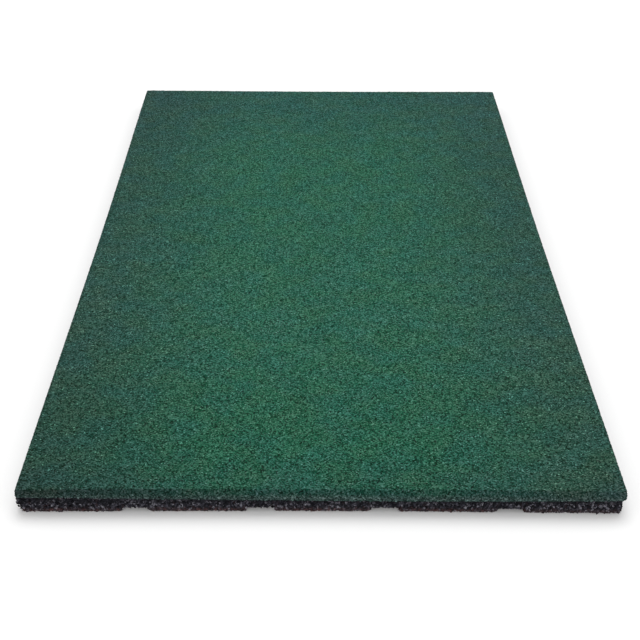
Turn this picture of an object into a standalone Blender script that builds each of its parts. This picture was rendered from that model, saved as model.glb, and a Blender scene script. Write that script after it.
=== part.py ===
"""Rubber safety mat: a tile pressed from two layers of bonded rubber granulate.

Metres, +Z up. The origin is the centre of the mat, on the floor that its feet stand on.
X runs across the mat and Y along it. The drainage channels run along Y.
"""

import math

import bmesh
import bpy

# The whole mat, over its widest line
MAT_WIDTH = 0.500
MAT_LENGTH = 1.000
MAT_THICKNESS = 0.025

# The green wear layer: a fine rim above, upright where two mats meet, and drawn in below
WEAR_CORNER_RADIUS = 0.004
WEAR_RIM_RADIUS = 0.0015
BUTT_WALL_LOW = 0.0175
WEAR_LIP_INSET = 0.0012
ROUNDING_STEPS = 4

# The line between the layers: the granulate was levelled thinner towards -X
LAYER_LINE_LEFT = 0.0160
LAYER_LINE_RIGHT = 0.0127
LAYER_LINE_STRIPS = 10
LAYER_GAP = 0.0003

# The black base layer, set back under the wear layer, with five feet between four channels
BASE_INSET = 0.0025
BASE_EDGE_RADIUS = 0.0035
CHANNEL_COUNT = 4
CHANNEL_PITCH = 0.103
CHANNEL_DEPTH = 0.0052
CHANNEL_MOUTH_WIDTH = 0.024
CHANNEL_CEILING_WIDTH = 0.019
CHANNEL_CORNER_RADIUS = 0.002
CUTTER_OVERRUN = 0.010

SMOOTH_ANGLE = math.radians(30)


def layer_line(x):
    """Height of the line between the layers: a parabola, level at the right-hand side."""
    share = (MAT_WIDTH / 2 - x) / MAT_WIDTH
    return LAYER_LINE_RIGHT + (LAYER_LINE_LEFT - LAYER_LINE_RIGHT) * share**2


def clear_scene():
    for obj in list(bpy.data.objects):
        bpy.data.objects.remove(obj)


def rubber(name, colour, roughness):
    """Bonded rubber granulate: a matt, non-metallic surface."""
    material = bpy.data.materials.new(name)
    material.use_nodes = True
    shader = material.node_tree.nodes["Principled BSDF"]
    shader.inputs["Base Color"].default_value = (*colour, 1)
    shader.inputs["Roughness"].default_value = roughness
    shader.inputs["Metallic"].default_value = 0
    return material


def add_object(name, shape, material=None, parent=None):
    """Turns a bmesh into a smooth-shaded object with sharp creases."""
    mesh = bpy.data.meshes.new(name)
    bmesh.ops.recalc_face_normals(shape, faces=shape.faces)
    shape.to_mesh(mesh)
    shape.free()
    mesh.shade_smooth()
    mesh.set_sharp_from_angle(angle=SMOOTH_ANGLE)
    if material:
        mesh.materials.append(material)
    obj = bpy.data.objects.new(name, mesh)
    obj.parent = parent
    bpy.context.scene.collection.objects.link(obj)
    return obj


def round_edges(shape, edges, radius):
    bmesh.ops.bevel(
        shape, geom=edges, offset=radius, segments=ROUNDING_STEPS, profile=0.5, affect="EDGES"
    )


def rounded_slab(width, length, low, high, corner_radius, rim_radius, rim_height):
    """A box with its four upright edges rounded, and then those round its top or its bottom."""
    shape = bmesh.new()
    bmesh.ops.create_cube(shape, size=1)
    bmesh.ops.scale(shape, vec=(width, length, high - low), verts=shape.verts)
    bmesh.ops.translate(shape, vec=(0, 0, (low + high) / 2), verts=shape.verts)
    upright_edges = [e for e in shape.edges if e.verts[0].co.z != e.verts[1].co.z]
    round_edges(shape, upright_edges, corner_radius)
    rim_edges = [
        e
        for e in shape.edges
        if all(math.isclose(v.co.z, rim_height, abs_tol=1e-6) for v in e.verts)
    ]
    round_edges(shape, rim_edges, rim_radius)
    return shape


def cut_all_round(shape, place, normal):
    everything = shape.verts[:] + shape.edges[:] + shape.faces[:]
    bmesh.ops.bisect_plane(shape, geom=everything, plane_co=place, plane_no=normal)


def cut_into_strips(shape):
    """Cuts lines along Y, so that the slab's flat side can follow the layer line."""
    strip_width = MAT_WIDTH / LAYER_LINE_STRIPS
    for number in range(1, LAYER_LINE_STRIPS):
        cut_all_round(shape, (number * strip_width - MAT_WIDTH / 2, 0, 0), (1, 0, 0))


def follow_layer_line(shape, level, drop):
    """Moves the flat side at this level to the layer line, or that far below it."""
    for vert in shape.verts:
        if math.isclose(vert.co.z, level, abs_tol=1e-6):
            vert.co.z = layer_line(vert.co.x) - drop


def wear_layer(parent):
    """The coloured layer that people walk on: fine granulate, about 10 mm deep."""
    shape = rounded_slab(
        MAT_WIDTH,
        MAT_LENGTH,
        LAYER_LINE_RIGHT,
        MAT_THICKNESS,
        WEAR_CORNER_RADIUS,
        WEAR_RIM_RADIUS,
        MAT_THICKNESS,
    )
    cut_into_strips(shape)
    cut_all_round(shape, (0, 0, BUTT_WALL_LOW), (0, 0, 1))
    for vert in shape.verts:
        if math.isclose(vert.co.z, LAYER_LINE_RIGHT, abs_tol=1e-6):
            vert.co.x *= 1 - 2 * WEAR_LIP_INSET / MAT_WIDTH
            vert.co.y *= 1 - 2 * WEAR_LIP_INSET / MAT_LENGTH
    follow_layer_line(shape, LAYER_LINE_RIGHT, 0)
    green = rubber("green_granulate", (0.031, 0.110, 0.072), 0.85)
    return add_object("wear_layer", shape, green, parent)


def channel_cutter(x, parent):
    """The space of one drainage channel, wider at its mouth, and past both ends of the mat."""
    flank_run = (CHANNEL_MOUTH_WIDTH - CHANNEL_CEILING_WIDTH) / 2 / CHANNEL_DEPTH
    low_half_width = CHANNEL_MOUTH_WIDTH / 2 + flank_run * CUTTER_OVERRUN
    high_half_width = CHANNEL_CEILING_WIDTH / 2
    start = -MAT_LENGTH / 2 - CUTTER_OVERRUN
    shape = bmesh.new()
    section = [
        shape.verts.new((side * half_width, start, z))
        for side, half_width, z in (
            (-1, low_half_width, -CUTTER_OVERRUN),
            (1, low_half_width, -CUTTER_OVERRUN),
            (1, high_half_width, CHANNEL_DEPTH),
            (-1, high_half_width, CHANNEL_DEPTH),
        )
    ]
    face = shape.faces.new(section)
    pulled = bmesh.ops.extrude_face_region(shape, geom=[face])
    far_end = [v for v in pulled["geom"] if isinstance(v, bmesh.types.BMVert)]
    bmesh.ops.translate(shape, vec=(0, -2 * start, 0), verts=far_end)
    ceiling_edges = [
        e
        for e in shape.edges
        if all(v.co.z > 0 for v in e.verts) and e.verts[0].co.y != e.verts[1].co.y
    ]
    round_edges(shape, ceiling_edges, CHANNEL_CORNER_RADIUS)
    cutter = add_object("channel_cutter", shape, parent=parent)
    cutter.location.x = x
    cutter.hide_render = True
    cutter.display_type = "WIRE"
    return cutter


def base_layer(parent):
    """The black layer of coarse granulate, with worn lower edges and open channels."""
    top = LAYER_LINE_LEFT
    shape = rounded_slab(
        MAT_WIDTH - 2 * BASE_INSET,
        MAT_LENGTH - 2 * BASE_INSET,
        0,
        top,
        BASE_EDGE_RADIUS,
        BASE_EDGE_RADIUS,
        0,
    )
    cut_into_strips(shape)
    follow_layer_line(shape, top, LAYER_GAP)
    black = rubber("black_granulate", (0.025, 0.023, 0.027), 0.9)
    base = add_object("base_layer", shape, black, parent)
    for number in range(CHANNEL_COUNT):
        x = (number - (CHANNEL_COUNT - 1) / 2) * CHANNEL_PITCH
        cut = base.modifiers.new(f"channel_{number + 1}", "BOOLEAN")
        cut.operation = "DIFFERENCE"
        cut.object = channel_cutter(x, parent)
    return base


def main():
    clear_scene()
    mat = bpy.data.objects.new("mat", None)
    bpy.context.scene.collection.objects.link(mat)
    base_layer(mat)
    wear_layer(mat)


main()
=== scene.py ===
import math

import bmesh
import bpy
import numpy as np
from mathutils import Matrix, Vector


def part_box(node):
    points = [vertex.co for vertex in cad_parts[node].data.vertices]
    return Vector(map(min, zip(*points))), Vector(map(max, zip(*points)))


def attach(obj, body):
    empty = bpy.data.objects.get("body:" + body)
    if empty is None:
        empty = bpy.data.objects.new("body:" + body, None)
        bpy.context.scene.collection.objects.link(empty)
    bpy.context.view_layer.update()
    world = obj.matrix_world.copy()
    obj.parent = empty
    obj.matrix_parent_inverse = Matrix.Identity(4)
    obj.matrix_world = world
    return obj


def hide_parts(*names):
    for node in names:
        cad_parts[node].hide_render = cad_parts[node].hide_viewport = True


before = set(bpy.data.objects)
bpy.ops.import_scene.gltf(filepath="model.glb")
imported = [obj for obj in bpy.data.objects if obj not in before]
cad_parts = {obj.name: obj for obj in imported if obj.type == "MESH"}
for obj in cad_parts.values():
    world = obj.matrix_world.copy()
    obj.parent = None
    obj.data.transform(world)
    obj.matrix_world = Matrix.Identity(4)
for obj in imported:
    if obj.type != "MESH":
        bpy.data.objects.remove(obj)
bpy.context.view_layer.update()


# The green wear layer. Fine dyed rubber granulate, about 1 mm across, bonded with clear binder and
# pressed flat in a mould: dense on top, rounded at the rim, upright where two mats meet and drawn
# in a little below, down to the line where it is bonded to the black base.
wear_low, wear_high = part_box("wear_layer")
WEAR_WIDTH = wear_high.x - wear_low.x
WEAR_LENGTH = wear_high.y - wear_low.y
WEAR_TOP = wear_high.z
CORNER_RADIUS = 0.0025
RIM_RADIUS = 0.0006
RIM_INSET = 0.0008
WIDEST_LINE = 0.0195
BOW_IN = 0.002
BUTT_WALL_LOW = 0.0175
LIP_INSET = 0.0012
LINE_LEFT = 0.0174
LINE_LOW = 0.0129
LINE_LOW_AT = 0.05
LINE_STRIPS = 10
WEAR_MESH = 0.0025
WALL_MESH = 0.002
WEAR_ROUGHEN = 0.00038
WALL_ROUGHEN = 0.00025
ROUGHEN_EVENNESS = 0.3
SAME_PLACE = 1e-5
SMALL_STEP = 0.0005
FACING = 0.9
MOST_CUTS = 100

GREEN_GRAIN = 0.0012
GREEN_ROUGHNESS = 0.72
GREEN_ROUGHNESS_SPREAD = 0.2
GREEN_SHEEN = 0.1
# The tones of single granules, from the darkest to the palest, each at its share of them
FULL_GREEN = ((0.0, (0.000, 0.016, 0.004)), (0.25, (0.001, 0.073, 0.035)),
              (0.75, (0.044, 0.183, 0.112)), (1.0, (0.092, 0.268, 0.183)))
GREYER_GREEN = ((0.0, (0.000, 0.011, 0.001)), (0.25, (0.0075, 0.048, 0.033)),
                (0.75, (0.0445, 0.119, 0.092)), (1.0, (0.077, 0.177, 0.141)))
# A dull grey-green for the lip
LIP_GREY_GREEN = ((0.0, (0.004, 0.009, 0.009)), (0.6, (0.034, 0.058, 0.054)), (1.0, (0.128, 0.188, 0.176)))
BRIGHT_GRANULE, BRIGHT_SHARE = (0.140, 0.350, 0.260), 0.014
DARK_GRANULE, DARK_SHARE = (0.001, 0.015, 0.011), 0.02
# Painted shade for the crevices between granules
GAP_SHADE_GREEN = (0.001, 0.018, 0.010)
BLUISH_PATCH, BROWNISH_PATCH = 0.034, 0.026


def layer_line(x):
    """Height of the line between the layers: a shallow valley, which rises most towards -X."""
    share = (x - LINE_LOW_AT) / (WEAR_WIDTH / 2 + LINE_LOW_AT)
    return LINE_LOW + (LINE_LEFT - LINE_LOW) * abs(share) ** 1.5


def start_slab(name, width, length, low, high):
    """A box of rubber at its size and place, alone in the selection and in edit mode."""
    bpy.ops.object.select_all(action="DESELECT")
    bpy.ops.mesh.primitive_cube_add(size=1, location=(0, 0, 0))
    bpy.context.object.name = name
    bpy.ops.object.mode_set(mode="EDIT")
    bpy.ops.transform.resize(value=(width, length, high - low), center_override=(0, 0, 0))
    bpy.ops.transform.translate(value=(0, 0, (low + high) / 2))
    return bpy.context.object


def shape_now():
    """The mesh of the piece in edit mode."""
    return bmesh.from_edit_mesh(bpy.context.edit_object.data)


def pick(kind, accepted):
    """Selects the corners, edges or faces of the piece in edit mode that the test accepts."""
    bpy.ops.mesh.select_mode(type={"verts": "VERT", "edges": "EDGE", "faces": "FACE"}[kind])
    bpy.ops.mesh.select_all(action="DESELECT")
    for part in getattr(shape_now(), kind):
        if accepted(part):
            part.select_set(True)
    bmesh.update_edit_mesh(bpy.context.edit_object.data, loop_triangles=False, destructive=False)


def span_along(edge, axis):
    """The length of an edge that lies along X, Y or Z, and 0 for any other edge."""
    span = edge.verts[0].co - edge.verts[1].co
    return span.length if abs(span[axis]) > 0.999 * span.length else 0.0


def cut_down_to(axis, spacing, accepted=lambda edge: True):
    """Cuts across the edges that lie along an axis, into pieces about as long as the spacing."""
    spans = {round(span_along(e, axis), 4) for e in shape_now().edges if accepted(e)}
    for span in sorted(spans, reverse=True):
        while span > 1.4 * spacing:
            pieces = min(MOST_CUTS, math.ceil(span / spacing))
            pick("edges", lambda e: abs(span_along(e, axis) - span) < 1e-4 and accepted(e))
            bpy.ops.mesh.subdivide(number_cuts=pieces - 1)
            span /= pieces


def cut_line(axis, place):
    """A line all round the piece, square to an axis."""
    bpy.ops.mesh.select_all(action="SELECT")
    bpy.ops.mesh.bisect(plane_co=[place if n == axis else 0 for n in range(3)],
                        plane_no=[n == axis for n in range(3)])


def follow_line(level, drop):
    """Moves each column of corners at this level to the layer line, or that far below it."""
    def at_level(vert):
        return abs(vert.co.z - level) < SAME_PLACE

    for x in sorted({round(v.co.x, 5) for v in shape_now().verts if at_level(v)}):
        pick("verts", lambda v: at_level(v) and round(v.co.x, 5) == x)
        bpy.ops.transform.translate(value=(0, 0, layer_line(x) - drop - level))


def faces_look(edge, direction):
    """Whether an edge lies between two faces that both look up, 1, or both look down, -1."""
    return len(edge.link_faces) == 2 and all(f.normal.z * direction > FACING for f in edge.link_faces)


wear = start_slab("wear_layer_granulate", WEAR_WIDTH, WEAR_LENGTH, LINE_LOW, WEAR_TOP)
pick("edges", lambda e: span_along(e, 2))
bpy.ops.mesh.bevel(offset=CORNER_RADIUS, segments=4, affect="EDGES")
cut_line(2, WIDEST_LINE)
pick("verts", lambda v: v.co.z > WEAR_TOP - SAME_PLACE)
rim_scale = (1 - 2 * RIM_INSET / WEAR_WIDTH, 1 - 2 * RIM_INSET / WEAR_LENGTH, 1)
bpy.ops.transform.resize(value=rim_scale, center_override=(0, 0, WEAR_TOP))
pick("edges", lambda e: all(v.co.z > WEAR_TOP - SAME_PLACE for v in e.verts))
bpy.ops.mesh.bevel(offset=RIM_RADIUS, segments=2, affect="EDGES")
for number in range(1, LINE_STRIPS):
    cut_line(0, number * WEAR_WIDTH / LINE_STRIPS - WEAR_WIDTH / 2)
cut_line(2, BUTT_WALL_LOW)
pick("verts", lambda v: v.co.z < LINE_LOW + SAME_PLACE)
lip_scale = (1 - 2 * LIP_INSET / WEAR_WIDTH, 1 - 2 * LIP_INSET / WEAR_LENGTH, 1)
bpy.ops.transform.resize(value=lip_scale, center_override=(0, 0, LINE_LOW))
follow_line(LINE_LOW, 0)
cut_down_to(0, WEAR_MESH)
cut_down_to(1, WEAR_MESH, lambda e: not faces_look(e, -1))
cut_down_to(2, WALL_MESH, lambda e: e.verts[0].co.z != e.verts[1].co.z)
pick("edges", lambda e: max(v.co.z for v in e.verts) < BUTT_WALL_LOW + SAME_PLACE
     and abs(e.verts[0].co.z - e.verts[1].co.z) > SMALL_STEP)
bpy.ops.mesh.subdivide(number_cuts=1)
pick("verts", lambda v: any(f.normal.z > -FACING for f in v.link_faces))
bpy.ops.transform.vertex_random(offset=WALL_ROUGHEN, uniform=ROUGHEN_EVENNESS, seed=3)
pick("verts", lambda v: all(f.normal.z > FACING for f in v.link_faces)
     or v.co.z < BUTT_WALL_LOW - SMALL_STEP and any(f.normal.z > -FACING for f in v.link_faces))
bpy.ops.transform.vertex_random(offset=WEAR_ROUGHEN, uniform=ROUGHEN_EVENNESS, seed=4)
bpy.ops.mesh.select_all(action="SELECT")
bpy.ops.mesh.quads_convert_to_tris(quad_method="SHORTEST_DIAGONAL")
bpy.ops.object.mode_set(mode="OBJECT")


def bow_sides(piece):
    """Bows the four sides in, most at their middles, as the rubber shrank when it was cured."""
    bpy.ops.object.select_all(action="DESELECT")
    bpy.ops.object.add(type="LATTICE", location=(0, 0, WEAR_TOP / 2))
    cage = bpy.context.object
    cage.scale = (WEAR_WIDTH, WEAR_LENGTH, WEAR_TOP)
    cage.data.points_u, cage.data.points_v, cage.data.points_w = 3, 3, 2
    cage.data.interpolation_type_u = cage.data.interpolation_type_v = "KEY_CARDINAL"
    narrower, shorter = 1 - 2 * BOW_IN / WEAR_WIDTH, 1 - 2 * BOW_IN / WEAR_LENGTH
    for point in cage.data.points:
        x, y, z = point.co
        if x == 0 or y == 0:
            point.co_deform = (x * narrower, y * shorter, z)
    bow = piece.modifiers.new("bow", "LATTICE")
    bow.object = cage
    bpy.ops.object.select_all(action="DESELECT")
    bpy.context.view_layer.objects.active = piece
    bpy.ops.object.modifier_apply(modifier="bow")
    bpy.data.objects.remove(cage)


bow_sides(wear)


class Shade:
    """A value, colour or direction on its way through a rubber's shader."""

    def __init__(self, recipe, socket):
        self.recipe, self.socket = recipe, socket

    def sum(self, operation, *values):
        return self.recipe.node("ShaderNodeMath", {"operation": operation}, dict(enumerate(values)))

    def __add__(self, other):
        return self.sum("ADD", self, other)

    def __sub__(self, other):
        return self.sum("SUBTRACT", self, other)

    def __rsub__(self, other):
        return self.sum("SUBTRACT", other, self)

    def __mul__(self, other):
        return self.sum("MULTIPLY", self, other)

    def __neg__(self):
        return self.sum("MULTIPLY", self, -1.0)

    def __gt__(self, other):
        return self.sum("GREATER_THAN", self, other)

    def __lt__(self, other):
        return self.sum("LESS_THAN", self, other)

    def __abs__(self):
        return self.sum("ABSOLUTE", self)

    def most(self, other):
        return self.sum("MAXIMUM", self, other)

    def whole(self):
        return self.sum("FLOOR", self)

    def ramp(self, start, end):
        """0 at the start, 1 at the end, and smooth between them."""
        settings, sockets = {"interpolation_type": "SMOOTHSTEP"}, {0: self, 1: start, 2: end, 3: 0.0, 4: 1.0}
        return self.recipe.node("ShaderNodeMapRange", settings, sockets)

    __radd__, __rmul__ = __add__, __mul__


class Recipe:
    """The shader of one rubber: a Principled surface, with nodes added one by one."""

    def __init__(self, name, sheen):
        self.material = bpy.data.materials.new(name)
        self.material.use_nodes = True
        self.tree = self.material.node_tree
        self.shader = self.tree.nodes["Principled BSDF"]
        self.shader.inputs["Specular IOR Level"].default_value = sheen
        self.place = self.node("ShaderNodeTexCoord", out="Object")

    def node(self, kind, settings=(), sockets=(), out=0):
        """Adds a node, makes its settings, fills its sockets, and gives its output."""
        added = self.tree.nodes.new(kind)
        settings = dict(settings)
        stops = settings.pop("stops", ())
        for name, value in settings.items():
            setattr(added, name, value)
        for number, (position, colour) in enumerate(stops):
            ramp = added.color_ramp.elements
            stop = ramp[number] if number < 2 else ramp.new(position)
            stop.position, stop.color = position, (*colour, 1)
        for name, value in dict(sockets).items():
            self.fill(added.inputs[name], value)
        return Shade(self, added.outputs[out])

    def fill(self, socket, value):
        if isinstance(value, Shade):
            self.tree.links.new(value.socket, socket)
        elif hasattr(value, "__len__") and socket.type == "RGBA":
            socket.default_value = (*value, 1)
        else:
            socket.default_value = value

    def others(self, shade):
        """All the outputs of the node that gave this one."""
        return [Shade(self, output) for output in shade.socket.node.outputs]

    def mixed(self, share, first, second, way="MIX"):
        """Two colours mixed by a share, from 0 for the first to 1 for the second."""
        settings = {"data_type": "RGBA", "blend_type": way, "clamp_factor": True}
        return self.node("ShaderNodeMix", settings, {0: share, 6: first, 7: second}, out=2)

    def tones(self, share, *stops):
        return self.node("ShaderNodeValToRGB", {"stops": stops}, {0: share})

    def vectors(self, operation, *values, out=0):
        return self.node("ShaderNodeVectorMath", {"operation": operation}, dict(enumerate(values)), out)

    def noise(self, size, detail=2.0, out=0):
        sockets = {"Vector": self.place, "Scale": 1 / size, "Detail": detail}
        return self.node("ShaderNodeTexNoise", sockets=sockets, out=out)

    def channels(self, colour):
        return self.others(self.node("ShaderNodeSeparateColor", sockets={0: colour}))

    def axes(self):
        return self.others(self.node("ShaderNodeSeparateXYZ", sockets={0: self.place}))

    def granules(self, size, uneven=0.6):
        """Granules of about this size, pushed about so that they are not even. Gives three random
        numbers that each granule has to itself, its tilted and rounded relief in metres, and how
        far its middle is."""
        push = self.vectors("SUBTRACT", self.noise(size * 2, 1.0, out="Color"), (0.5, 0.5, 0.5))
        scaled = {0: push, "Scale": uneven * size}
        push = self.node("ShaderNodeVectorMath", {"operation": "SCALE"}, scaled)
        place = self.vectors("ADD", self.place, push)
        cell = self.node("ShaderNodeTexVoronoi", sockets={"Vector": place, "Scale": 1 / size})
        distance, colour, middle = self.others(cell)[:3]
        tilt = self.vectors("SUBTRACT", colour, (0.5, 0.5, 0.5))
        tilt = self.vectors("DOT_PRODUCT", tilt, self.vectors("SUBTRACT", place, middle), out="Value")
        rounding = distance * distance * (size * 0.5)
        return self.channels(colour)[:3], tilt * 1.2 - rounding, distance

    def finish(self, colour, roughness, relief):
        """Links the surface: its colour, its roughness and its relief, which is in metres."""
        sockets = {"Height": relief, "Strength": 1.0, "Distance": 1.0}
        bump = self.node("ShaderNodeBump", sockets=sockets)
        for name, value in (("Base Color", colour), ("Roughness", roughness), ("Normal", bump)):
            self.fill(self.shader.inputs[name], value)
        return self.material


def beyond_sides(recipe):
    """How far a place lies beyond the bowed sides and beyond the bowed ends: below 0 inside."""
    x, y = recipe.axes()[:2]
    beyond_side = abs(x) - WEAR_WIDTH / 2 + BOW_IN * (1 - y * y * (4 / WEAR_LENGTH**2))
    beyond_end = abs(y) - WEAR_LENGTH / 2 + BOW_IN * (1 - x * x * (4 / WEAR_WIDTH**2))
    return beyond_side, beyond_end


def green_tone(recipe, own, odd):
    """The colour of one green granule, from where it lies and from two random numbers of its own.
    The colour is full in the middle of the mat, greyer along the sides and duller towards the ends.
    Painted shade darkens the rim and the walls, and the lip turns a dull grey-green."""
    # Each place sets in between two distances from the middle of the mat, in metres
    x, y, height = recipe.axes()
    left, right = (-x).ramp(0.06, 0.27), x.ramp(0.06, 0.27)
    front, back = (-y).ramp(0.10, 0.52), y.ramp(0.20, 0.50)
    front_edge, past_front = (-y).ramp(0.44, 0.50), y.ramp(-0.30, 0.10)
    beyond_side, beyond_end = beyond_sides(recipe)
    beyond = beyond_side.most(beyond_end)
    # Painted shade: a thin band along the rim is darkened in colour
    rim = beyond.ramp(-0.0024, -0.0009)
    # Painted shade: the walls and the band just under the rim are darkened in colour, more so towards -X
    below_rim = 1 - height.ramp(WEAR_TOP - 0.0016, WEAR_TOP - 0.0008)
    wall = beyond.ramp(-0.0011, -0.0004).most(below_rim)
    bluish = recipe.noise(BLUISH_PATCH, 1.0).ramp(0.36, 0.64)
    brownish = recipe.noise(BROWNISH_PATCH, 1.0).ramp(0.36, 0.64)
    tone = recipe.mixed(left + right, recipe.tones(own, *FULL_GREEN), recipe.tones(own, *GREYER_GREEN))
    tone = recipe.mixed(odd > 1 - BRIGHT_SHARE, tone, BRIGHT_GRANULE)
    tone = recipe.mixed(odd < DARK_SHARE, tone, DARK_GRANULE)
    tints = (
        (right, (1.02, 1.03, 1.02)),
        (left * beyond_side.ramp(-0.009, -0.001), (0.95, 0.92, 0.94)),
        (front, (0.70, 0.87, 0.82)),
        (front * left, (1.0, 0.90, 0.86)),
        (front * right, (1.3, 1.09, 1.05)),
        (past_front, (0.87, 0.985, 0.97)),
        (front_edge, (1.08, 0.89, 0.97)),
        (back, (0.97, 0.80, 1.00)),
        (back * left, (0.98, 1.10, 0.96)),
        (back * right, (1.08, 1.25, 1.10)),
        # Painted shade on the rim, then on the walls
        (rim, (1.0, 0.90, 0.94)),
        (wall, (0.72, 0.65, 0.70)),
        (wall * (-x).ramp(-0.05, 0.15), (0.90, 0.80, 0.81)),
        (bluish, (0.90, 0.98, 1.13)),
        (brownish, (1.16, 0.985, 0.96)),
    )
    for share, tint in tints:
        tone = recipe.mixed(share, tone, recipe.mixed(1.0, tone, tint, "MULTIPLY"))
    # The lip turns a dull grey-green towards the layer line
    lip = 1 - height.ramp(BUTT_WALL_LOW - 0.0016, BUTT_WALL_LOW + 0.0045)
    return recipe.mixed(lip * 0.75, tone, recipe.tones(own, *LIP_GREY_GREEN))


green = Recipe("green_granulate", sheen=GREEN_SHEEN)
(own, odd, dullness), relief, distance = green.granules(GREEN_GRAIN)
# Painted shade: the crevices between granules are darkened in colour
granule_gap_shade = distance.ramp(0.45, 0.95)
tone = green.mixed(granule_gap_shade * 0.8, green_tone(green, own, odd), GAP_SHADE_GREEN)
roughness = dullness * GREEN_ROUGHNESS_SPREAD + GREEN_ROUGHNESS
relief = relief + green.noise(0.0006) * 0.0002
wear.data.materials.append(green.finish(tone, roughness, relief))
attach(wear, "root")
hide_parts("wear_layer")


# Green granules that stand a little proud round the rim, on the butt wall and on the lip below it,
# where the mould let them turn. The same dyed rubber, each an angular chip 1 to 2 mm across.
CHIP_SIZE = 0.0017
CHIP_SIZE_SPREAD = 0.22
WALL_CHIP_SHARE = 0.75
CHIP_SPACING = 0.0018
CHIP_CLEARANCE = 0.0003
CHIPS_START = 0.002
LIP_ROWS = 0.0045
LIP_SUNK = 0.25
WALL_SUNK = 0.38
SUNK_FROM, SUNK_TO = 0.7, 1.3
FEWEST_ON_LIP = 0.25
BLANK_SIZE = 0.8
BLANK_STRETCH = (1.15, 0.95, 0.8)
ABOVE_FLOOR = 0.00005
RING_POINTS = 64
ROW_SHIFT = 0.45
OWN_STEPS = 9999


def crumb_shapes(count, shake, seed):
    """A few angular crumbs one unit across, each shaken out of a cube."""
    shapes = []
    for number in range(count):
        bpy.ops.object.select_all(action="DESELECT")
        bpy.ops.mesh.primitive_cube_add(size=BLANK_SIZE, location=(0, 0, 0))
        crumb = bpy.context.object
        bpy.ops.object.mode_set(mode="EDIT")
        bpy.ops.mesh.quads_convert_to_tris()
        bpy.ops.transform.vertex_random(offset=shake, uniform=0.5, seed=seed + number)
        bpy.ops.transform.resize(value=BLANK_STRETCH, center_override=(0, 0, 0))
        bpy.ops.object.mode_set(mode="OBJECT")
        corners = np.array([v.co for v in crumb.data.vertices])
        shapes.append((corners, np.array([p.vertices for p in crumb.data.polygons])))
        bpy.data.objects.remove(crumb)
    return shapes


def lay_crumbs(name, shapes, places, sizes, chance):
    """One mesh of many crumbs, each at its place and size and turned at random. A crumb has one
    random number to itself, kept in the attribute crumb. None reaches below the floor."""
    count = len(places)
    kind = chance.integers(len(shapes), size=count)
    corners = np.stack([shape[0] for shape in shapes])[kind]
    faces = np.stack([shape[1] for shape in shapes])[kind]
    spin = chance.normal(size=(count, 4))
    w, x, y, z = (spin / np.linalg.norm(spin, axis=1)[:, None]).T
    turn = np.array([[1 - 2 * (y * y + z * z), 2 * (x * y - w * z), 2 * (x * z + w * y)],
                     [2 * (x * y + w * z), 1 - 2 * (x * x + z * z), 2 * (y * z - w * x)],
                     [2 * (x * z - w * y), 2 * (y * z + w * x), 1 - 2 * (x * x + y * y)]])
    corners = np.einsum("ijn,nkj->nki", turn, corners) * sizes[:, None, None] + places[:, None]
    corners[:, :, 2] = np.maximum(corners[:, :, 2], ABOVE_FLOOR)
    faces = faces + corners.shape[1] * np.arange(count)[:, None, None]
    mesh = bpy.data.meshes.new(name)
    mesh.from_pydata(corners.reshape(-1, 3).tolist(), [], faces.reshape(-1, 3).tolist())
    own = np.repeat(chance.random(count), corners.shape[1]).astype(np.float32)
    mesh.attributes.new("crumb", "FLOAT", "POINT").data.foreach_set("value", own)
    crumbs = bpy.data.objects.new(name, mesh)
    bpy.context.scene.collection.objects.link(crumbs)
    return crumbs


def crumb_numbers(recipe):
    """The random number that each crumb has to itself, and a second one made from it. Whole steps
    of the first are scrambled, because it is not read to its last digit all over a crumb."""
    own = recipe.node("ShaderNodeAttribute", {"attribute_name": "crumb"}, out="Fac")
    steps = (own * OWN_STEPS).whole()
    return own, recipe.node("ShaderNodeTexWhiteNoise", {"noise_dimensions": "1D"}, {"W": steps})


def outline_at(share, width, length, corner):
    """Points at a share of the way round a rectangle with rounded corners, and the way out there."""
    angle = (np.arange(RING_POINTS) + 0.5) / RING_POINTS * 2 * np.pi
    way = np.stack([np.cos(angle), np.sin(angle)], 1)
    ring = np.sign(way) * (width / 2 - corner, length / 2 - corner) + corner * way
    ring, way = np.vstack([ring, ring[:1]]), np.vstack([way, way[:1]])
    along = np.concatenate([[0], np.cumsum(np.linalg.norm(np.diff(ring, axis=0), axis=1))])
    share = share % 1 * along[-1]
    blend = [[np.interp(share, along, part[:, n]) for n in range(2)] for part in (ring, way)]
    return np.array(blend[0]).T, np.array(blend[1]).T / np.linalg.norm(blend[1], axis=0)[:, None]


def on_edge(profile, spacing, width, length, corner, chance):
    """Crumb places all over an edge, in uneven rows. The profile gives the edge's section: how
    far it is set back at each height. Gives the places and the way out at each."""
    profile = np.array(profile)
    run = np.concatenate([[0], np.cumsum(np.linalg.norm(np.diff(profile, axis=0), axis=1))])
    rows, columns = round(run[-1] / spacing), round(2 * (width + length) / spacing)
    row, column = np.meshgrid(np.arange(rows), np.arange(columns), indexing="ij")
    shift = chance.uniform(-ROW_SHIFT, ROW_SHIFT, (2, rows * columns))
    down = (row.ravel() + 0.5 + shift[0]) / rows * run[-1]
    across = (column.ravel() + row.ravel() % 2 / 2 + shift[1]) / columns
    back, height = (np.interp(down, run, profile[:, n]) for n in range(2))
    point, way = outline_at(across, width, length, corner)
    return np.column_stack([point - way * back[:, None], height]), way


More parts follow.
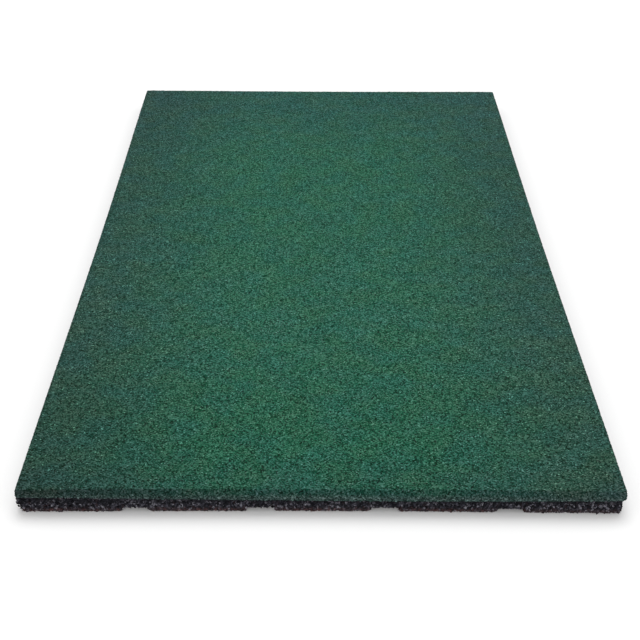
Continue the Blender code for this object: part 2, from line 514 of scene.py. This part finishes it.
chance = np.random.default_rng(11)
section = [(RIM_INSET * 0.4, WEAR_TOP - CHIPS_START), (0, WIDEST_LINE), (0, BUTT_WALL_LOW),
           (LIP_INSET, BUTT_WALL_LOW - LIP_ROWS)]
places, way = on_edge(section, CHIP_SPACING, WEAR_WIDTH, WEAR_LENGTH, CORNER_RADIUS, chance)
down_lip = np.clip(BUTT_WALL_LOW - places[:, 2], 0, None) / LIP_ROWS
lip_height = BUTT_WALL_LOW - layer_line(places[:, 0])
places[:, 2] += down_lip * (LIP_ROWS + CHIP_CLEARANCE - lip_height)
on_lip = places[:, 2] < BUTT_WALL_LOW
kept = ~on_lip | (chance.random(len(places)) < FEWEST_ON_LIP + lip_height / LIP_ROWS)
places, way, on_lip = places[kept], way[kept], on_lip[kept]
sizes = CHIP_SIZE * np.where(on_lip, 1, WALL_CHIP_SHARE)
sizes = sizes * chance.lognormal(0, CHIP_SIZE_SPREAD, len(places))
sunk = sizes * np.where(on_lip, LIP_SUNK, WALL_SUNK) * chance.uniform(SUNK_FROM, SUNK_TO, len(places))
places[:, :2] -= way * sunk[:, None]
chips = lay_crumbs("wear_layer_chips", crumb_shapes(5, shake=0.16, seed=20), places, sizes, chance)
green_chip = Recipe("green_chip", sheen=GREEN_SHEEN)
own, odd = crumb_numbers(green_chip)
tone = green_tone(green_chip, own, odd)
roughness = own * GREEN_ROUGHNESS_SPREAD + GREEN_ROUGHNESS
relief = green_chip.noise(0.0005) * 0.0003
chips.data.materials.append(green_chip.finish(tone, roughness, relief))
bow_sides(chips)
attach(chips, "root")


# The black base layer. Coarse granulate of shredded tyres, 2 to 3 mm across, pressed under the
# green layer in the same mould, with five feet between four drainage channels that run along Y.
# This is its body, set back by half a crumb all round.
base_low, base_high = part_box("base_layer")
BASE_WIDTH = base_high.x - base_low.x
BASE_LENGTH = base_high.y - base_low.y
BASE_CORNER = 0.0025
CORE_INSET = 0.0012
FOOT_ROUNDING = 0.0044
FOOT_CHAMFER = 0.7
CHANNELS = 4
CHANNEL_PITCH = 0.1025
CHANNEL_SHIFT = 0.0012
CHANNEL_MOUTH = 0.024
# Each step up a channel's walls: its rise, and the width that it narrows to
CHANNEL_RISES = ((0.0040, 0.0215), (0.0007, 0.0195))
LAYER_GAP = 0.0003
BASE_MESH = 0.0029
BASE_WALL_MESH = 0.0022
BASE_ROUGHEN = 0.0010

BLACK_GRAIN = 0.0026
BLACK_ROUGHNESS = 0.62
BLACK_ROUGHNESS_SPREAD = 0.25
BLACK_SHEEN = 0.12
TYRE_BLACKS = ((0.0, (0.001, 0.001, 0.002)), (0.45, (0.015, 0.015, 0.021)),
               (0.8, (0.054, 0.053, 0.068)), (1.0, (0.200, 0.196, 0.225)))
# Brown dust along the lower edge, together with painted bounce light from the floor
BROWN_DUST_AND_BOUNCE_LIGHT = (0.100, 0.064, 0.064)
RED_BROWN = (0.095, 0.040, 0.038)
# Painted shadow under the lip, then painted shade in pores and between crumbs
UNDER_LIP_SHADOW = (0.004, 0.006, 0.008)
PORE_SHADE_BLACK = (0.001, 0.001, 0.002)
GAP_SHADE_BLACK = (0.004, 0.004, 0.005)

first_channel = CHANNEL_SHIFT - (CHANNELS - 1) / 2 * CHANNEL_PITCH
channel_centres = [first_channel + number * CHANNEL_PITCH for number in range(CHANNELS)]
bpy.ops.object.select_all(action="DESELECT")
bpy.ops.mesh.primitive_plane_add(size=1, location=(0, 0, 0))
base = bpy.context.object
base.name = "base_layer_granulate"
bpy.ops.object.mode_set(mode="EDIT")
foot_inset = CORE_INSET + FOOT_ROUNDING
foot_plan = (BASE_WIDTH - 2 * foot_inset, BASE_LENGTH - 2 * foot_inset, 1)
bpy.ops.transform.resize(value=foot_plan, center_override=(0, 0, 0))
bpy.ops.mesh.flip_normals()
bpy.ops.mesh.select_all(action="SELECT")
bpy.ops.mesh.bevel(offset=BASE_CORNER / 2, segments=2, affect="VERTICES")
for number in range(1, LINE_STRIPS):
    cut_line(0, number * BASE_WIDTH / LINE_STRIPS - BASE_WIDTH / 2)
for centre in channel_centres:
    for side in (-1, 1):
        cut_line(0, centre + side * CHANNEL_MOUTH / 2)
for centre in channel_centres:
    pick("faces", lambda f: abs(f.calc_center_median().x - centre) < CHANNEL_MOUTH / 2)
    wide = CHANNEL_MOUTH
    for rise, width in CHANNEL_RISES:
        bpy.ops.mesh.extrude_region_move(TRANSFORM_OT_translate={"value": (0, 0, rise)})
        bpy.ops.transform.resize(value=(width / wide, 1, 1), center_override=(centre, 0, 0))
        wide = width
pick("faces", lambda f: abs(f.normal.y) > FACING)
bpy.ops.mesh.delete(type="FACE")


def pull_walls(outward, upward):
    """Extrudes the open rim of the base: outward, by growing the whole ring, and up."""
    pick("edges", lambda e: e.is_boundary)
    bpy.ops.mesh.extrude_edges_move()
    ring = [v.co for v in shape_now().verts if v.select]
    grow = (1 + outward / max(c.x for c in ring), 1 + outward / max(c.y for c in ring), 1)
    bpy.ops.transform.resize(value=grow, center_override=(0, 0, 0))
    bpy.ops.transform.translate(value=(0, 0, upward))


pull_walls(FOOT_ROUNDING * FOOT_CHAMFER, FOOT_ROUNDING * (1 - FOOT_CHAMFER))
pull_walls(FOOT_ROUNDING * (1 - FOOT_CHAMFER), FOOT_ROUNDING * FOOT_CHAMFER)
pull_walls(0, FOOT_ROUNDING)
bpy.ops.transform.resize(value=(1, 1, 0), center_override=(0, 0, LINE_LEFT))
pick("edges", lambda e: e.is_boundary and not span_along(e, 1))
bpy.ops.mesh.bridge_edge_loops()
follow_line(LINE_LEFT, LAYER_GAP)
cut_down_to(0, BASE_MESH)
cut_down_to(1, BASE_MESH, lambda e: not faces_look(e, 1))
cut_down_to(2, BASE_WALL_MESH)
pick("verts", lambda v: any(f.normal.z < FACING for f in v.link_faces))
bpy.ops.transform.vertex_random(offset=BASE_ROUGHEN, uniform=ROUGHEN_EVENNESS, seed=5)
pick("verts", lambda v: v.co.z < 0)
bpy.ops.transform.resize(value=(1, 1, 0), center_override=(0, 0, 0))
bpy.ops.mesh.select_all(action="SELECT")
bpy.ops.mesh.quads_convert_to_tris(quad_method="SHORTEST_DIAGONAL")
bpy.ops.object.mode_set(mode="OBJECT")


def black_tone(recipe, own, odd):
    """The colour of one tyre crumb: black or grey, with painted shadow under the green lip and painted shade
    in small pores. Along the outer lower edge it is lighter and browner, partly brown dust and partly
    painted bounce light from the floor, and some crumbs there are red-brown."""
    x, _, height = recipe.axes()
    beyond_side, beyond_end = beyond_sides(recipe)
    outer = beyond_side.most(beyond_end).ramp(-0.014, -0.008)
    low, high = (1 - height.ramp(0.002, 0.0065)) * outer, height.ramp(0.008, 0.012)
    rusty = (odd > 0.62) * (low * 0.65) * (1 - x.ramp(0.12, 0.18) * 0.7) + (odd > 0.92) * 0.12
    # Painted shade: small dark pores between the tyre crumbs
    pore_shade = 1 - recipe.noise(0.0011, 1.0).ramp(0.40, 0.58)
    # Lighter and browner along the outer lower edge: partly brown dust, partly painted bounce light from the
    # floor
    tone = recipe.mixed(low * 0.30, recipe.tones(own, *TYRE_BLACKS), BROWN_DUST_AND_BOUNCE_LIGHT)
    # Painted shadow: the crumbs high on the base, under the overhanging green lip, are darkened
    tone = recipe.mixed(high * 0.55, tone, UNDER_LIP_SHADOW)
    tone = recipe.mixed(rusty, tone, RED_BROWN)
    return recipe.mixed(pore_shade * 0.65, tone, PORE_SHADE_BLACK)


black = Recipe("black_granulate", sheen=BLACK_SHEEN)
(own, odd, dullness), relief, distance = black.granules(BLACK_GRAIN)
# Painted shade: the crevices between crumbs are darkened in colour
crumb_gap_shade = distance.ramp(0.45, 0.95)
tone = black.mixed(crumb_gap_shade * 0.8, black_tone(black, own, odd), GAP_SHADE_BLACK)
roughness = dullness * BLACK_ROUGHNESS_SPREAD + BLACK_ROUGHNESS
relief = relief + black.noise(0.0008) * 0.0003
base.data.materials.append(black.finish(tone, roughness, relief))
bow_sides(base)
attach(base, "root")
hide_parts("base_layer")


# Tyre crumbs on the sides of the base, each about 2 mm across and angular, bonded with binder. They
# fill it out to the mould's wall, leave its lower edges and the channels' mouths ragged, and at the
# left they spread out over a foot that is worn below.
CRUMB_SIZE = 0.0020
CRUMB_SIZE_SPREAD = 0.25
CRUMB_SPACING = 0.00165
CRUMB_CLEARANCE = 0.0004
CRUMB_ROUGHNESS = 0.6
CRUMBS_SUNK_FROM, CRUMBS_SUNK_TO = 0.2, 0.5
UPPER_ROWS = 0.0115
LEFT_STRIP = BASE_WIDTH / 12
LEFT_SPREAD = 0.0024
LEFT_SPREAD_FROM, LEFT_SPREAD_FULL = 0.003, 0.0065
LEFT_WORN = 0.0014
LEFT_WORN_TO = 0.007
FRONT_SET_BACK = 0.0006
FRONT_ROWS = 0.005
MOUTH_ROWS = 0.006
MOUTH_FLANK = 0.3
MOUTH_LIFTED = 0.0012
MOUTH_KEPT_CLEAR = 0.4
CEILING_KEPT_CLEAR = 0.45

foot_turn = np.linspace(0, np.pi / 2, 5)
section = [(0, UPPER_ROWS), (0, FOOT_ROUNDING)]
section += [(FOOT_ROUNDING * (1 - math.cos(t)), FOOT_ROUNDING * (1 - math.sin(t))) for t in foot_turn]
places, way = on_edge(section, CRUMB_SPACING, BASE_WIDTH, BASE_LENGTH, BASE_CORNER, chance)
upper = np.clip((places[:, 2] - FOOT_ROUNDING) / (UPPER_ROWS - FOOT_ROUNDING), 0, None)
places[:, 2] += upper * (layer_line(places[:, 0]) - CRUMB_CLEARANCE - UPPER_ROWS)
sizes = CRUMB_SIZE * chance.lognormal(0, CRUMB_SIZE_SPREAD, len(places))
sunk = sizes * chance.uniform(CRUMBS_SUNK_FROM, CRUMBS_SUNK_TO, len(places))
places[:, :2] -= way * sunk[:, None]

at_left = np.clip(1 - (places[:, 0] + BASE_WIDTH / 2) / LEFT_STRIP, 0, 1)
spread = np.clip((places[:, 2] - LEFT_SPREAD_FROM) / (LEFT_SPREAD_FULL - LEFT_SPREAD_FROM), 0, 1)
worn = np.clip(1 - places[:, 2] / LEFT_WORN_TO, 0, 1)
places[:, 0] += at_left * (LEFT_WORN * worn - LEFT_SPREAD * spread)
places[:, 1] += FRONT_SET_BACK * (places[:, 1] < FRONT_ROWS - BASE_LENGTH / 2)

at_end = np.abs(places[:, 1]) > BASE_LENGTH / 2 - MOUTH_ROWS
off_centre = np.abs(places[:, :1] - channel_centres).min(1)
ceiling = CHANNEL_RISES[0][0] + CHANNEL_RISES[1][0]
half_mouth = CHANNEL_MOUTH / 2 - places[:, 2] * MOUTH_FLANK
in_mouth = at_end & (off_centre < half_mouth + sizes * MOUTH_KEPT_CLEAR)
kept = ~in_mouth | (places[:, 2] > ceiling - MOUTH_LIFTED)
lifted = np.maximum(places[:, 2], ceiling + sizes * CEILING_KEPT_CLEAR)
places[in_mouth, 2] = lifted[in_mouth]
places, sizes = places[kept], sizes[kept]
crumbs = lay_crumbs("base_layer_crumbs", crumb_shapes(6, shake=0.2, seed=40), places, sizes, chance)
black_crumb = Recipe("black_crumb", sheen=BLACK_SHEEN)
own, odd = crumb_numbers(black_crumb)
tone = black_tone(black_crumb, own, odd)
roughness = own * BLACK_ROUGHNESS_SPREAD + CRUMB_ROUGHNESS
relief = black_crumb.noise(0.0007) * 0.0005
crumbs.data.materials.append(black_crumb.finish(tone, roughness, relief))
bow_sides(crumbs)
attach(crumbs, "root")


# The set: a plain white floor, soft even light from all round with a softbox above and one in
# front, and the camera at the photograph's viewing angle.
FLOOR_SIZE = 30
FLOOR_WHITE = (0.86, 0.86, 0.86)
FLOOR_ROUGHNESS = 0.9
ALL_ROUND_LIGHT = 0.745
# Each softbox: its name, its power, and how far it spreads and leans, in degrees
SOFTBOXES = (("softbox_above", 1.17, 46, -20), ("softbox_front", 1.46, 40, 68))
PICTURE_WIDTH = 640
FOCAL_PIXELS = 1401.6
SENSOR_WIDTH = 36
CAMERA_PLACE = (-0.0051, -1.4405, 0.6825)
CAMERA_TURN, CAMERA_DOWN, CAMERA_ROLL = -0.204, 28.002, 0.309

bpy.ops.object.select_all(action="DESELECT")
bpy.ops.mesh.primitive_plane_add(size=FLOOR_SIZE, location=(0, 0, 0))
floor = bpy.context.object
floor.name = "floor"
white = Recipe("white_floor", sheen=0.0)
white.fill(white.shader.inputs["Base Color"], FLOOR_WHITE)
white.fill(white.shader.inputs["Roughness"], FLOOR_ROUGHNESS)
floor.data.materials.append(white.material)

world = bpy.data.worlds.new("studio")
bpy.context.scene.world = world
world.use_nodes = True
world.node_tree.nodes["Background"].inputs["Color"].default_value = (1, 1, 1, 1)
world.node_tree.nodes["Background"].inputs["Strength"].default_value = ALL_ROUND_LIGHT
for name, power, spread, lean in SOFTBOXES:
    lamp = bpy.data.lights.new(name, "SUN")
    lamp.energy, lamp.angle = power, math.radians(spread)
    softbox = bpy.data.objects.new(name, lamp)
    bpy.context.scene.collection.objects.link(softbox)
    softbox.rotation_euler = (math.radians(lean), 0, 0)

lens = bpy.data.cameras.new("camera")
lens.lens, lens.sensor_width = FOCAL_PIXELS * SENSOR_WIDTH / PICTURE_WIDTH, SENSOR_WIDTH
lens.clip_start = 0.05
camera = bpy.data.objects.new("camera", lens)
bpy.context.scene.collection.objects.link(camera)
camera.matrix_world = (
    Matrix.Translation(CAMERA_PLACE)
    @ Matrix.Rotation(math.radians(CAMERA_TURN), 4, "Z")
    @ Matrix.Rotation(math.radians(90 - CAMERA_DOWN), 4, "X")
    @ Matrix.Rotation(math.radians(CAMERA_ROLL), 4, "Z")
)
bpy.context.scene.camera = camera
bpy.context.scene.view_settings.view_transform = "Standard"
